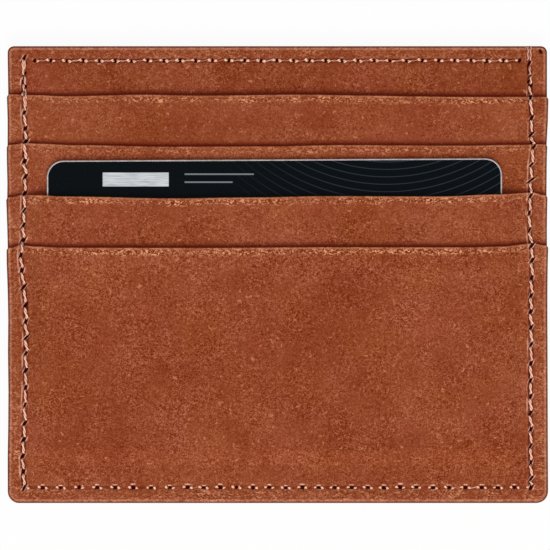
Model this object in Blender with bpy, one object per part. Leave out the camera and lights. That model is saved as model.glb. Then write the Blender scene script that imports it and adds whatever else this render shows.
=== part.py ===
"""Slim leather card wallet with four stepped card pockets, a note pocket and one bank card.

The wallet lies on its back. +X runs to the right across the face, +Y towards the pocket mouths
and +Z out of the face. The origin is the middle of the back face. All sizes are in metres.
"""

import math

import bmesh
import bpy
from mathutils import Matrix

# Bank card, the common ID-1 size, and how it sits in its pocket
CARD_WIDTH = 0.08560
CARD_HEIGHT = 0.05398
CARD_THICKNESS = 0.00076
CARD_CORNER = 0.00318
CARD_STAND_OUT = 0.0070
CARD_OFFSET = -0.00036
CARD_TILT = math.radians(0.3)
CARD_FACE_CLEARANCE = 0.00020
CARD_EDGE_CLEARANCE = 0.00040

# Inlays of the card, measured from its upper left corner
CHIP_WIDTH = 0.0128
CHIP_HEIGHT = 0.0114
CHIP_CORNER = 0.0016
CHIP_THICKNESS = 0.00020
CHIP_FROM_LEFT = 0.0090
CHIP_FROM_TOP = 0.0187
STRIPE_HEIGHT = 0.0127
STRIPE_FROM_TOP = 0.0050
SIGNATURE_WIDTH = 0.0620
SIGNATURE_HEIGHT = 0.0090
SIGNATURE_FROM_LEFT = 0.0070
SIGNATURE_FROM_STRIPE = 0.0025
FILM_THICKNESS = 0.00010
INLAY_CLEARANCE = 0.00004

# Outline and pocket layout of the wallet
SIDE_MARGIN = 0.0080
TOP_BAND = 0.0092
POCKET_STEP = 0.0096
FLOOR_PLAY = 0.0026
FLOOR_TO_EDGE = 0.0080
BOTTOM_CORNER = 0.0022
TOP_CORNER = 0.0012
CORNER_SEGMENTS = 4

# Sheets, from the back to the face
BACK_LEATHER = 0.0010
FRONT_LEATHER = 0.0009
POCKET_LEATHER = 0.0007
LINING_THICKNESS = 0.0002
SHEET_GAP = 0.00020
NOTE_GAP = 0.0007

# Sewing
SEAM_INSET = 0.0031
TOP_SEAM_INSET = 0.0027
SEAM_END_INSET = 0.0009
STITCH_LENGTH = 0.00305
STITCH_CROWN = 0.00010
THREAD = 0.00045
FINE_THREAD = 0.00025
THREAD_CLEARANCE = 0.00006
CHANNEL_DEPTH = 0.00040
BACK_CHANNEL_DEPTH = 0.00062
FINE_CHANNEL_DEPTH = 0.00032
SEAM_FLAT = 0.0010
THREAD_SIDES_RESOLUTION = 1

# How far a cutter reaches past the surface that it cuts, and the angle up to which edges look round
CUT_OVERSHOOT = 0.0005
SMOOTH_ANGLE = math.radians(30)

POCKETS = (1, 2, 3, 4)
CARD_POCKET = 3

# Layout that follows from the sizes above
WIDTH = CARD_WIDTH + 2 * SIDE_MARGIN
POCKET_DEPTH = CARD_HEIGHT - CARD_STAND_OUT + FLOOR_PLAY
HEIGHT = TOP_BAND + (CARD_POCKET - 1) * POCKET_STEP + POCKET_DEPTH + FLOOR_TO_EDGE
TOP = HEIGHT / 2
BOTTOM = -HEIGHT / 2
MOUTH = {n: TOP - TOP_BAND - (n - 1) * POCKET_STEP for n in POCKETS}
FLOOR = {n: MOUTH[n] - POCKET_DEPTH for n in POCKETS[:-1]}
CARD_CENTRE = MOUTH[CARD_POCKET] + CARD_STAND_OUT - CARD_HEIGHT / 2

# Heights of the sheets' undersides
BACK_LINING_LEVEL = BACK_LEATHER + SHEET_GAP
FRONT_LINING_LEVEL = BACK_LINING_LEVEL + LINING_THICKNESS + NOTE_GAP
FRONT_LEVEL = FRONT_LINING_LEVEL + LINING_THICKNESS + SHEET_GAP
FRONT_FACE = FRONT_LEVEL + FRONT_LEATHER
POCKET_PITCH = SHEET_GAP + POCKET_LEATHER
POCKET_LEVEL = {n: FRONT_FACE + SHEET_GAP + (n - 1) * POCKET_PITCH for n in POCKETS}
POCKET_FACE = {n: POCKET_LEVEL[n] + POCKET_LEATHER for n in POCKETS}
CARD_LEVEL = POCKET_FACE[CARD_POCKET - 1] + CARD_FACE_CLEARANCE

# Leather moulded over the card: flat over it, sloping down to the seams around it
MOULD_LIFT = CARD_THICKNESS + 2 * CARD_FACE_CLEARANCE - SHEET_GAP
MOULD_HALF_WIDTH = (
    CARD_WIDTH / 2 + abs(CARD_OFFSET) + CARD_HEIGHT / 2 * math.sin(CARD_TILT) + CARD_EDGE_CLEARANCE
)
MOULD_FOOT_X = WIDTH / 2 - SEAM_INSET - SEAM_FLAT
MOULD_LOW = CARD_CENTRE - CARD_HEIGHT / 2 - CARD_WIDTH / 2 * math.sin(CARD_TILT) - CARD_EDGE_CLEARANCE
MOULD_FOOT_Y = FLOOR[CARD_POCKET] + SEAM_FLAT / 2

# Seam lines
SEAM_X = WIDTH / 2 - SEAM_INSET
SEAM_LOW = BOTTOM + SEAM_INSET
SEAM_HIGH = TOP - SEAM_END_INSET
TOP_SEAM_Y = TOP - TOP_SEAM_INSET
TOP_SEAM_X = SEAM_X - 2 * THREAD - SEAM_FLAT / 2
FLOOR_SEAM_X = MOULD_FOOT_X
STITCH_LEAD = STITCH_LENGTH / 2


def clear_scene():
    for obj in list(bpy.data.objects):
        bpy.data.objects.remove(obj, do_unlink=True)


def new_collection(name):
    made = bpy.data.collections.new(name)
    bpy.context.scene.collection.children.link(made)
    return made


def new_material(name, colour, roughness, metallic=0.0):
    made = bpy.data.materials.new(name)
    made.use_nodes = True
    shader = made.node_tree.nodes["Principled BSDF"]
    shader.inputs["Base Color"].default_value = (*colour, 1.0)
    shader.inputs["Roughness"].default_value = roughness
    shader.inputs["Metallic"].default_value = metallic
    made.diffuse_color = (*colour, 1.0)
    return made


def new_empty(name, location=(0, 0, 0), turn=0.0):
    made = bpy.data.objects.new(name, None)
    made.location = location
    made.rotation_euler = (0, 0, turn)
    wallet_parts.objects.link(made)
    return made


def place(name, data, material, location=(0, 0, 0), parent=None):
    made = bpy.data.objects.new(name, data)
    made.location = location
    made.parent = parent or wallet_frame
    data.materials.append(material)
    wallet_parts.objects.link(made)
    return made


def cut_box(target, low, high):
    """Cuts the box between two corners, given in the frame of the target's parent, out of the target."""
    mesh = bpy.data.meshes.new(target.name + "_cut")
    shape = bmesh.new()
    size = [b - a for a, b in zip(low, high)]
    middle = [(a + b) / 2 for a, b in zip(low, high)]
    bmesh.ops.create_cube(shape, size=1.0, matrix=Matrix.LocRotScale(middle, None, size))
    shape.to_mesh(mesh)
    shape.free()
    cutter = bpy.data.objects.new(mesh.name, mesh)
    cutter.parent = target.parent
    cutter.hide_render = True
    cutter.display_type = "WIRE"
    cutters.objects.link(cutter)
    modifier = target.modifiers.new(mesh.name, "BOOLEAN")
    modifier.operation = "DIFFERENCE"
    modifier.object = cutter


def rounded_plate(left, right, low, high, low_corner, high_corner, segments):
    """A flat face with rounded corners, as an open bmesh in the XY plane."""
    shape = bmesh.new()
    size = (right - left, high - low, 1.0)
    middle = ((left + right) / 2, (low + high) / 2, 0.0)
    bmesh.ops.create_grid(
        shape, x_segments=1, y_segments=1, size=0.5, matrix=Matrix.LocRotScale(middle, None, size)
    )
    for radius, side in ((low_corner, -1), (high_corner, 1)):
        corners = [v for v in shape.verts if (v.co.y - middle[1]) * side > (high - low) / 2 - radius / 2]
        if radius:
            bmesh.ops.bevel(
                shape, geom=corners, offset=radius, segments=segments, profile=0.5, affect="VERTICES"
            )
    return shape


def thicken(shape, thickness):
    """Closes an open face into a solid of that thickness, measured along +Z."""
    grown = bmesh.ops.extrude_face_region(shape, geom=shape.faces[:])["geom"]
    raised = [part for part in grown if isinstance(part, bmesh.types.BMVert)]
    bmesh.ops.translate(shape, verts=raised, vec=(0, 0, thickness))
    bmesh.ops.recalc_face_normals(shape, faces=shape.faces[:])


def as_mesh(name, shape):
    mesh = bpy.data.meshes.new(name)
    shape.to_mesh(mesh)
    shape.free()
    mesh.shade_smooth()
    mesh.set_sharp_from_angle(angle=SMOOTH_ANGLE)
    return mesh


def mould_over_card(shape):
    """Lifts the sheet where the card lies under it, with slopes down to the side and floor seams."""
    lines = [((side * x, 0, 0), (1, 0, 0)) for side in (-1, 1) for x in (MOULD_HALF_WIDTH, MOULD_FOOT_X)]
    lines += [((0, y, 0), (0, 1, 0)) for y in (MOULD_LOW, MOULD_FOOT_Y)]
    for point, normal in lines:
        everything = shape.verts[:] + shape.edges[:] + shape.faces[:]
        bmesh.ops.bisect_plane(shape, geom=everything, plane_co=point, plane_no=normal, dist=SHEET_GAP / 100)
    middle_x = (MOULD_HALF_WIDTH + MOULD_FOOT_X) / 2
    middle_y = (MOULD_LOW + MOULD_FOOT_Y) / 2
    for vertex in shape.verts:
        if abs(vertex.co.x) < middle_x and vertex.co.y > middle_y:
            vertex.co.z = MOULD_LIFT
    bmesh.ops.triangulate(shape, faces=shape.faces[:], quad_method="FIXED")


def sheet(name, level, thickness, material, high=TOP, high_corner=0.0, moulded=False, inset=0.0):
    """One flat or moulded sheet that reaches from the wallet's bottom edge up to high."""
    side = WIDTH / 2 - inset
    shape = rounded_plate(-side, side, BOTTOM + inset, high, BOTTOM_CORNER, high_corner, CORNER_SEGMENTS)
    if moulded:
        mould_over_card(shape)
    thicken(shape, thickness)
    return place(name, as_mesh(name, shape), material, location=(0, 0, level))


def cut_channel(target, start, end, surface, width, depth, facing=1):
    """A straight sewing channel from start to end (x, y), sunk into a surface that faces up or down."""
    half = width / 2 + THREAD_CLEARANCE
    floor = surface - facing * depth
    past = surface + facing * CUT_OVERSHOOT
    xs = sorted((start[0], end[0]))
    ys = sorted((start[1], end[1]))
    low = (xs[0] - half, ys[0] - half, min(floor, past))
    high = (xs[1] + half, ys[1] + half, max(floor, past))
    cut_box(target, low, high)


def cut_side_channels(target, low, high, surface, depth=CHANNEL_DEPTH, facing=1):
    for side in (-1, 1):
        x = side * SEAM_X
        cut_channel(target, (x, low), (x, high), surface, THREAD, depth, facing)


def cut_bottom_channel(target, surface, depth=CHANNEL_DEPTH, facing=1):
    end = SEAM_X - THREAD / 2
    cut_channel(target, (-end, SEAM_LOW), (end, SEAM_LOW), surface, THREAD, depth, facing)


def cut_top_channel(target, surface, depth=CHANNEL_DEPTH, facing=1):
    end = TOP_SEAM_X + THREAD
    cut_channel(target, (-end, TOP_SEAM_Y), (end, TOP_SEAM_Y), surface, THREAD, depth, facing)


def cut_floor_channel(target, pocket, surface, facing=1):
    end = FLOOR_SEAM_X + FINE_THREAD
    y = FLOOR[pocket]
    cut_channel(target, (-end, y), (end, y), surface, FINE_THREAD, FINE_CHANNEL_DEPTH, facing)


def stitched(start, end, first=True):
    """Points along a straight seam (x, y), half a stitch apart, each with True where it is a needle hole."""
    length = math.dist(start, end)
    halves = 2 * max(1, round(length / STITCH_LENGTH))
    for i in range(0 if first else 1, halves + 1):
        share = i / halves
        yield (
            start[0] + share * (end[0] - start[0]),
            start[1] + share * (end[1] - start[1]),
            i % 2 == 0,
        )


def thread(name, points, diameter, material):
    curve = bpy.data.curves.new(name, "CURVE")
    curve.dimensions = "3D"
    curve.bevel_depth = diameter / 2
    curve.bevel_resolution = THREAD_SIDES_RESOLUTION
    curve.use_fill_caps = True
    spline = curve.splines.new("POLY")
    spline.points.add(len(points) - 1)
    for target, point in zip(spline.points, points):
        target.co = (*point, 1.0)
    return place(name, curve, material)


def seated(depth, diameter):
    """How far a thread's middle lies under the surface when it rests in a channel of that depth."""
    return depth - THREAD_CLEARANCE - diameter / 2


def face_height(y):
    """The front surface that the outer seam lies on at y. It climbs to a pocket half a stitch early."""
    covering = [n for n in POCKETS if y <= MOUTH[n] + STITCH_LEAD]
    return POCKET_FACE[covering[-1]] if covering else FRONT_FACE


def outer_seam_path():
    """The outer seam's three straight runs: down the left side, along the bottom, up the right side."""
    corners = [(-SEAM_X, SEAM_HIGH), (-SEAM_X, SEAM_LOW), (SEAM_X, SEAM_LOW), (SEAM_X, SEAM_HIGH)]
    path = []
    for start, end in zip(corners, corners[1:]):
        path += stitched(start, end, first=not path)
    return path


def top_seam_path():
    return list(stitched((-TOP_SEAM_X, TOP_SEAM_Y), (TOP_SEAM_X, TOP_SEAM_Y)))


def make_leather():
    back = sheet("back_panel", 0.0, BACK_LEATHER, leather, high_corner=TOP_CORNER)
    cut_side_channels(back, SEAM_LOW, TOP + CUT_OVERSHOOT, 0.0, BACK_CHANNEL_DEPTH, facing=-1)
    cut_bottom_channel(back, 0.0, BACK_CHANNEL_DEPTH, facing=-1)
    cut_top_channel(back, 0.0, BACK_CHANNEL_DEPTH, facing=-1)

    front = sheet("front_panel", FRONT_LEVEL, FRONT_LEATHER, leather, high_corner=TOP_CORNER)
    cut_side_channels(front, MOUTH[1] - STITCH_LEAD, TOP + CUT_OVERSHOOT, FRONT_FACE)
    cut_top_channel(front, FRONT_FACE)
    for pocket in FLOOR:
        cut_floor_channel(front, pocket, FRONT_LEVEL, facing=-1)

    for n in POCKETS:
        pocket = sheet(
            f"card_pocket_{n}",
            POCKET_LEVEL[n],
            POCKET_LEATHER,
            leather,
            high=MOUTH[n],
            moulded=n >= CARD_POCKET,
        )
        last = n == POCKETS[-1]
        low = SEAM_LOW if last else MOUTH[n + 1] - STITCH_LEAD
        cut_side_channels(pocket, low, MOUTH[n] + CUT_OVERSHOOT, POCKET_FACE[n])
        if last:
            cut_bottom_channel(pocket, POCKET_FACE[n])
        else:
            cut_floor_channel(pocket, n, POCKET_FACE[n])


def make_linings():
    for name, level in (("back_lining", BACK_LINING_LEVEL), ("front_lining", FRONT_LINING_LEVEL)):
        sheet(name, level, LINING_THICKNESS, lining, high_corner=TOP_CORNER, inset=SHEET_GAP)


def face_thread(name, path):
    """A thread on the front, whose stitches stand proud between the needle holes."""
    sunk = seated(CHANNEL_DEPTH, THREAD)
    points = [(x, y, face_height(y) - sunk + (0 if hole else STITCH_CROWN)) for x, y, hole in path]
    thread(name, points, THREAD, sewing_thread)


def back_thread(name, path):
    """A thread on the back, wholly inside its channel so that the wallet lies flat."""
    sunk = seated(BACK_CHANNEL_DEPTH, THREAD)
    points = [(x, y, sunk - (0 if hole else THREAD_CLEARANCE)) for x, y, hole in path]
    thread(name, points, THREAD, sewing_thread)


def make_outer_seam():
    face_thread("outer_seam_face_thread", outer_seam_path())
    back_thread("outer_seam_back_thread", outer_seam_path())


def make_top_seams():
    face_thread("front_top_seam_face_thread", top_seam_path())
    back_thread("back_top_seam_face_thread", top_seam_path())
    off_lining = THREAD_CLEARANCE + FINE_THREAD / 2
    inner_levels = {
        "front_top_seam_lining_thread": FRONT_LINING_LEVEL - off_lining,
        "back_top_seam_lining_thread": BACK_LINING_LEVEL + LINING_THICKNESS + off_lining,
    }
    for name, z in inner_levels.items():
        ends = [(side * TOP_SEAM_X, TOP_SEAM_Y, z) for side in (-1, 1)]
        thread(name, ends, FINE_THREAD, sewing_thread)


def make_floor_seams():
    """The hidden seams that close each inner pocket below its card."""
    sunk = seated(FINE_CHANNEL_DEPTH, FINE_THREAD)
    for pocket, y in FLOOR.items():
        for side_name, z in (("face", POCKET_FACE[pocket] - sunk), ("back", FRONT_LEVEL + sunk)):
            ends = [(side * FLOOR_SEAM_X, y, z) for side in (-1, 1)]
            thread(f"pocket_{pocket}_floor_{side_name}_thread", ends, FINE_THREAD, sewing_thread)


def inlay(name, body, material, left, top, width, height, thickness, on_face, corner=0.0):
    """A thin inlay in a matching recess of the card, with its corner given from the card's upper left."""
    low = (left - CARD_WIDTH / 2, CARD_HEIGHT / 2 - top - height)
    high = (low[0] + width, low[1] + height)
    depth = thickness + INLAY_CLEARANCE
    floor = CARD_THICKNESS - depth if on_face else depth
    past = CARD_THICKNESS + CUT_OVERSHOOT if on_face else -CUT_OVERSHOOT
    grown_low = [v - INLAY_CLEARANCE for v in low]
    grown_high = [v + INLAY_CLEARANCE for v in high]
    cut_box(body, (*grown_low, min(floor, past)), (*grown_high, max(floor, past)))
    shape = rounded_plate(low[0], high[0], low[1], high[1], corner, corner, CORNER_SEGMENTS)
    thicken(shape, thickness)
    level = CARD_THICKNESS - thickness if on_face else 0.0
    place(name, as_mesh(name, shape), material, location=(0, 0, level), parent=card_frame)


def make_card():
    half_width = CARD_WIDTH / 2
    half_height = CARD_HEIGHT / 2
    shape = rounded_plate(
        -half_width, half_width, -half_height, half_height, CARD_CORNER, CARD_CORNER, 2 * CORNER_SEGMENTS
    )
    thicken(shape, CARD_THICKNESS)
    body = place("card_body", as_mesh("card_body", shape), card_plastic, parent=card_frame)
    inlay(
        "card_chip", body, chip_metal, CHIP_FROM_LEFT, CHIP_FROM_TOP, CHIP_WIDTH, CHIP_HEIGHT,
        CHIP_THICKNESS, on_face=True, corner=CHIP_CORNER,
    )
    inlay(
        "card_magnetic_stripe", body, stripe_film, 0.0, STRIPE_FROM_TOP, CARD_WIDTH, STRIPE_HEIGHT,
        FILM_THICKNESS, on_face=False,
    )
    inlay(
        "card_signature_strip", body, paper_film, SIGNATURE_FROM_LEFT,
        STRIPE_FROM_TOP + STRIPE_HEIGHT + SIGNATURE_FROM_STRIPE, SIGNATURE_WIDTH, SIGNATURE_HEIGHT,
        FILM_THICKNESS, on_face=False,
    )


clear_scene()
wallet_parts = new_collection("card_wallet")
cutters = new_collection("cutters")

leather = new_material("tan_leather", (0.29, 0.064, 0.026), 0.62)
lining = new_material("brown_lining", (0.055, 0.026, 0.017), 0.85)
sewing_thread = new_material("sewing_thread", (0.56, 0.24, 0.13), 0.7)
card_plastic = new_material("card_plastic", (0.005, 0.006, 0.009), 0.25)
chip_metal = new_material("chip_metal", (0.80, 0.60, 0.28), 0.3, metallic=1.0)
stripe_film = new_material("stripe_film", (0.01, 0.01, 0.01), 0.4)
paper_film = new_material("paper_film", (0.80, 0.80, 0.77), 0.8)

wallet_frame = new_empty("wallet_frame")
card_frame = new_empty("card_frame", (CARD_OFFSET, CARD_CENTRE, CARD_LEVEL), CARD_TILT)

make_leather()
make_linings()
make_outer_seam()
make_top_seams()
make_floor_seams()
make_card()
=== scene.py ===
"""Looks of a slim leather card wallet that lies on its back, seen from straight above."""

import math

import bmesh
import bpy
import numpy as np
from mathutils import Matrix, Vector


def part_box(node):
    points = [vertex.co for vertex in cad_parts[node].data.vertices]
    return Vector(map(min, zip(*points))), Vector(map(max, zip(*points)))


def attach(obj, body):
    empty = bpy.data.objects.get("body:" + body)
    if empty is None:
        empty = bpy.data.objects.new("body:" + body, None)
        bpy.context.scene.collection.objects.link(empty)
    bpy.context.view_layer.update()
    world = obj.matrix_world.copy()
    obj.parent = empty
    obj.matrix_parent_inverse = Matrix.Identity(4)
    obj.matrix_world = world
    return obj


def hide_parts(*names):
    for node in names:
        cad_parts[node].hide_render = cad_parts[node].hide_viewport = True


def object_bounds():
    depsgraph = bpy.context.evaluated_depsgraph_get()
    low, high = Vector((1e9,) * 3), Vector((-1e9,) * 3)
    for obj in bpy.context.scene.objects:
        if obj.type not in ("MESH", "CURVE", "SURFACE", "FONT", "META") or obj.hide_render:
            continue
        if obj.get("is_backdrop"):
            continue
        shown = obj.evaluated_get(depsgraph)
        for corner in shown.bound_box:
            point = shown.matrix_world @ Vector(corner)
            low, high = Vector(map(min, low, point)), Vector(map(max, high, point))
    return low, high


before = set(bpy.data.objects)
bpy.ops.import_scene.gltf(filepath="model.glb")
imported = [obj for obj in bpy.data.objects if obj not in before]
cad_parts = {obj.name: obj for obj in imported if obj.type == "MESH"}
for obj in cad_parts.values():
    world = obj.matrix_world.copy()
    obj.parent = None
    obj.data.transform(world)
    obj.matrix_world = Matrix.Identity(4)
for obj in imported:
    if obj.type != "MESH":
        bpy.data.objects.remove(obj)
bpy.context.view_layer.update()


# Pricked holes
# The seam holes are slanting slits, pricked by hand through the stacked leather before sewing: a row
# down each side, one along the bottom and one across the top. The rows drift, most where a pocket ends.
MM = 0.001
THREAD = 0.45
SIDE_PITCH = 3.1
TOP_PITCH = 3.05
WIDE_BOTTOM_PITCH = 3.42
BOTTOM_PITCH = 3.08
BOTTOM_CHANGE = -16.8
HOLE_SCATTER = 0.04
SIDE_SLANT = math.radians(66.0)
CROSS_SLANT = math.radians(78.0)
SLANT_SCATTER = math.radians(9.0)
MOST_SCATTER = 0.1
SIZE_SCATTER = 0.14
LIP_SCATTER = 0.25
BOTTOM_SEAM_DROP = 0.15
LEFT_TOP_GAP = 1.35
RIGHT_TOP_GAP = 2.25
TOP_END_GAP = 0.6
LEFT_DRIFT = ((40.8, 0.04, 0.0), (34.5, 0.1, -0.08), (31.4, 0.14, -0.92), (28.3, 0.32, -0.81),
              (25.2, 0.38, -0.24), (22.1, 0.2, -0.81), (19.0, 0.38, -0.6), (12.7, 0.23, -0.68),
              (6.5, 0.05, -0.11), (3.4, -0.42, 0.19), (0.3, -0.11, 0.47), (-2.8, 0.14, 0.39),
              (-5.9, 0.58, 0.11), (-15.1, 0.56, 0.32), (-21.3, 0.5, 0.15), (-27.6, 0.27, -0.3),
              (-33.9, -0.05, -0.38), (-37.0, 0.0, -0.1), (-40.0, 0.27, 0.0))
RIGHT_DRIFT = ((39.9, -0.13, 0.0), (33.8, 0.06, -0.19), (30.8, 0.3, -0.94), (27.8, 0.06, -1.13),
               (24.8, 0.66, -0.19), (21.8, 0.17, -0.47), (18.7, 0.09, -0.47), (15.7, -0.04, 0.0),
               (9.7, -0.25, -0.28), (6.7, -0.09, -0.19), (3.7, 0.4, 0.28), (0.7, 0.19, 0.19),
               (-5.3, 0.0, -0.1), (-11.3, 0.09, 0.38), (-17.4, -0.04, -0.38), (-35.4, 0.0, -0.19),
               (-38.4, 0.15, 0.0))
chance = np.random.default_rng(7)


def box_mm(node):
    """Lowest and highest corner of a CAD node, in millimetres."""
    low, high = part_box(node)
    return np.array(low) / MM, np.array(high) / MM


seam_low, seam_high = box_mm("outer_seam_face_thread")
SIDE_SEAM = seam_high[0] - THREAD / 2
BOTTOM_SEAM = seam_low[1] + THREAD / 2 - BOTTOM_SEAM_DROP
LEFT_SEAM_TOP = seam_high[1] - LEFT_TOP_GAP
RIGHT_SEAM_TOP = seam_high[1] - RIGHT_TOP_GAP
RIGHT_LAST_STEP = 1.75
top_low, top_high = box_mm("front_top_seam_face_thread")
TOP_SEAM = (top_low[1] + top_high[1]) / 2
TOP_SEAM_END = top_high[0] - TOP_END_GAP


def evenly(start, end, pitch):
    """Places from start to end, as near to the pitch as a whole number of stitches allows."""
    return np.linspace(start, end, round(abs(end - start) / pitch) + 1)


def side_row(side, drift, start, end):
    """Places of the holes down one side: even steps, and off them where the awl slipped."""
    heights, aside, along = np.array(drift[::-1]).T
    steps = evenly(start, end, SIDE_PITCH)
    return side * SIDE_SEAM + np.interp(steps, heights, aside), steps + np.interp(steps, heights, along)


def pricked(xs, ys, slant, size, lips):
    """Slits of one row, each a little off its mark: place, slant, half width and length, and raised lips."""
    marks = np.stack(np.broadcast_arrays(xs, ys), axis=1).astype(float)
    marks += chance.normal(0.0, HOLE_SCATTER, marks.shape).clip(-MOST_SCATTER, MOST_SCATTER)
    slants = slant + chance.normal(0.0, SLANT_SCATTER, len(marks))
    sizes = np.array(size) * (1.0 + chance.normal(0.0, SIZE_SCATTER, marks.shape))
    raised = np.array(lips) + chance.normal(0.0, LIP_SCATTER, marks.shape)
    return np.column_stack([marks, slants, sizes, raised.clip(0.0, 1.0)])


left_x, left_y = side_row(-1, LEFT_DRIFT, LEFT_SEAM_TOP, BOTTOM_SEAM)
right_x, right_y = side_row(1, RIGHT_DRIFT, RIGHT_SEAM_TOP, BOTTOM_SEAM + RIGHT_LAST_STEP)
right_x, right_y = np.append(right_x, SIDE_SEAM), np.append(right_y, BOTTOM_SEAM)
left_holes = pricked(left_x, left_y, SIDE_SLANT, size=(0.26, 0.64), lips=(0.6, 0.45))
right_holes = pricked(right_x, right_y, SIDE_SLANT, size=(0.23, 0.56), lips=(0.3, 0.8))
bottom_x = np.concatenate([evenly(left_x[-1], BOTTOM_CHANGE, WIDE_BOTTOM_PITCH)[:-1],
                           evenly(BOTTOM_CHANGE, right_x[-1], BOTTOM_PITCH)])
bottom_holes = pricked(bottom_x, BOTTOM_SEAM, CROSS_SLANT, size=(0.44, 0.29), lips=(0.0, 0.9))
top_x = evenly(-TOP_SEAM_END, TOP_SEAM_END, TOP_PITCH)
top_holes = pricked(top_x, TOP_SEAM, CROSS_SLANT, size=(0.31, 0.34), lips=(0.1, 0.1))
bottom_holes[0] = left_holes[-1]
bottom_holes[-1] = right_holes[-1]

# Below the top the side seams were locked: on the face, odd holes take the place of the even ones there.
LEFT_TACK_HOLES = ((0.25, 37.92), (-0.09, 36.7), (0.32, 35.48), (-0.43, 34.25))
RIGHT_TACK_HOLES = ((0.05, 37.5), (-0.3, 36.4), (0.23, 35.72))
LEFT_LOCKED = (1, 2)
RIGHT_LOCKED = (1,)
CORNER_NICK = (49.68, 42.0, math.radians(110.0), 0.28, 0.44, 0.0, 0.0)
tack_x = [-SIDE_SEAM + aside for aside, _ in LEFT_TACK_HOLES]
tack_x += [SIDE_SEAM + aside for aside, _ in RIGHT_TACK_HOLES]
tack_y = [height for _, height in LEFT_TACK_HOLES + RIGHT_TACK_HOLES]
tack_holes = pricked(tack_x, tack_y, SIDE_SLANT, size=(0.24, 0.36), lips=(0.1, 0.1))
left_face_holes = np.delete(left_holes, LEFT_LOCKED, axis=0)
right_face_holes = np.delete(right_holes, RIGHT_LOCKED, axis=0)
side_heights = np.concatenate([left_y, right_y, tack_y, [CORNER_NICK[1]]])


def side_seam_x(side, y):
    """Where a side seam runs at height y: straight from hole to hole."""
    holes = left_holes if side < 0 else right_holes
    return np.interp(y, holes[::-1, 1], holes[::-1, 0])


# Back panel
# One sheet of waxed tan leather, cut to the outline of the wallet with its good side out. It lies on
# the table. Its cut edges are dyed dark and rubbed round, and the outer seam sews it to the front.
EDGE_LINES = (0.0, 0.05, 0.12, 0.22, 0.36, 0.55)
HOLE_LINES = (-0.8, -0.45, -0.22, 0.0, 0.22, 0.45, 0.8)
CLOSEST_LINES = 0.06
EDGE_ROUND = 0.32
UNDER_ROUND = 0.12
UNDER_RINGS = 3
GROOVE_DEPTH = 0.24
GROOVE_HALF_WIDTH = 0.48
BOTTOM_GROOVE_DEPTH = 0.1
HOLE_DEPTH = 0.4
LIP_PLACE = 1.75
LIP_WIDTH = 0.45
LIP_RISE = 0.05
MOUTH_ROUND = 0.18
WAVE_HEIGHT = 0.045
LEFT_EDGE = ((-40.2, 0.22), (-34.2, 0.21), (-28.2, 0.31), (-22.1, 0.35), (-14.6, 0.26), (-8.6, 0.33),
             (-4.1, 0.27), (1.9, 0.15), (4.9, 0.2), (7.9, 0.15), (13.9, 0.04), (17.0, 0.1), (21.5, 0.04),
             (29.0, 0.15), (35.0, 0.12), (41.0, 0.02))
RIGHT_EDGE = ((-40.2, 0.12), (-34.2, 0.09), (-13.0, 0.02), (-4.1, -0.04), (4.9, -0.06), (8.0, -0.1),
              (23.0, -0.1), (29.0, 0.14), (35.0, 0.1), (41.0, 0.11))
STRAY_START = 0.4
STRAY_RUN = 2.0
COVERED_ROWS = 3.0
COVERED_HOLES = 1.0
SEAM_REACH = 1.36
SEAM_STEP = 0.16
WAVE_LENGTHS = (34.0, 23.0, 15.0, 11.0)
WAVE_START = 2.0
CURVE_REACH = 9.0
SPREAD_REACH = 5.0
SPREAD_START = 45.0
SPREAD_RUN = 4.0
GAPE_REACH = 3.0
GAPE_INSET = 1.0
GROOVE_END = 0.4
GROOVE_PAST_LEFT = 0.3
GROOVE_PAST_RIGHT = 1.0
CLOSED_BY_LIFT = 0.45


def grid_lines(low, high, marks, widest):
    """Grid places from low to high: close to both edges, at the marks, and never further than widest."""
    lines = [low + step for step in EDGE_LINES] + [high - step for step in EDGE_LINES]
    for mark in marks:
        if low < mark < high and min(abs(mark - line) for line in lines) > CLOSEST_LINES:
            lines.append(mark)
    lines.sort()
    places = []
    for start, end in zip(lines, lines[1:]):
        count = max(1, math.ceil((end - start) / widest))
        places.extend(start + (end - start) * k / count for k in range(count))
    return np.array(places + [lines[-1]])


def around(holes):
    """Grid marks close round each hole."""
    return [hole + step for hole in holes for step in HOLE_LINES]


def along_sides():
    """Grid marks down both side seams, close enough for holes that drift."""
    steps = np.arange(-SEAM_REACH, SEAM_REACH + 0.01, SEAM_STEP)
    return [side * SIDE_SEAM + step for side in (-1, 1) for step in steps]


def smooth(value):
    """Soft step from 0 to 1."""
    value = np.clip(value, 0.0, 1.0)
    return value * value * (3.0 - 2.0 * value)


def rounding(distance, radius):
    """How far a rounded edge falls below the face, by the distance from the edge."""
    inward = np.clip(1.0 - distance / radius, 0.0, 1.0)
    return radius * (1.0 - np.sqrt(1.0 - inward * inward))


def rounded_corners(x, y, low, high, low_radius, high_radius):
    """Moves the square corners of a grid on to quarter circles."""
    from_side = np.minimum(x - low[0], high[0] - x)
    x_out, y_out = x.copy(), y.copy()
    for from_end, radius, end in ((y - low[1], low_radius, -1), (high[1] - y, high_radius, 1)):
        across = np.clip(radius - from_side, 0.0, None)
        along = np.clip(radius - from_end, 0.0, None)
        inside = (across > 0) & (along > 0)
        pull = np.ones_like(x)
        pull[inside] = np.maximum(across, along)[inside] / np.hypot(across, along)[inside]
        x_out += np.sign(x) * across * (pull - 1.0) * inside
        y_out += end * along * (pull - 1.0) * inside
    return x_out, y_out


def edge_stray(x, y):
    """How far the margins outside the side seams lie to the right of a straight cut."""
    outside = smooth((np.abs(x) - SIDE_SEAM - STRAY_START) / STRAY_RUN)
    left, right = (np.interp(y, *np.array(edge).T) for edge in (LEFT_EDGE, RIGHT_EDGE))
    return np.where(x < 0, left, right) * outside


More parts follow.
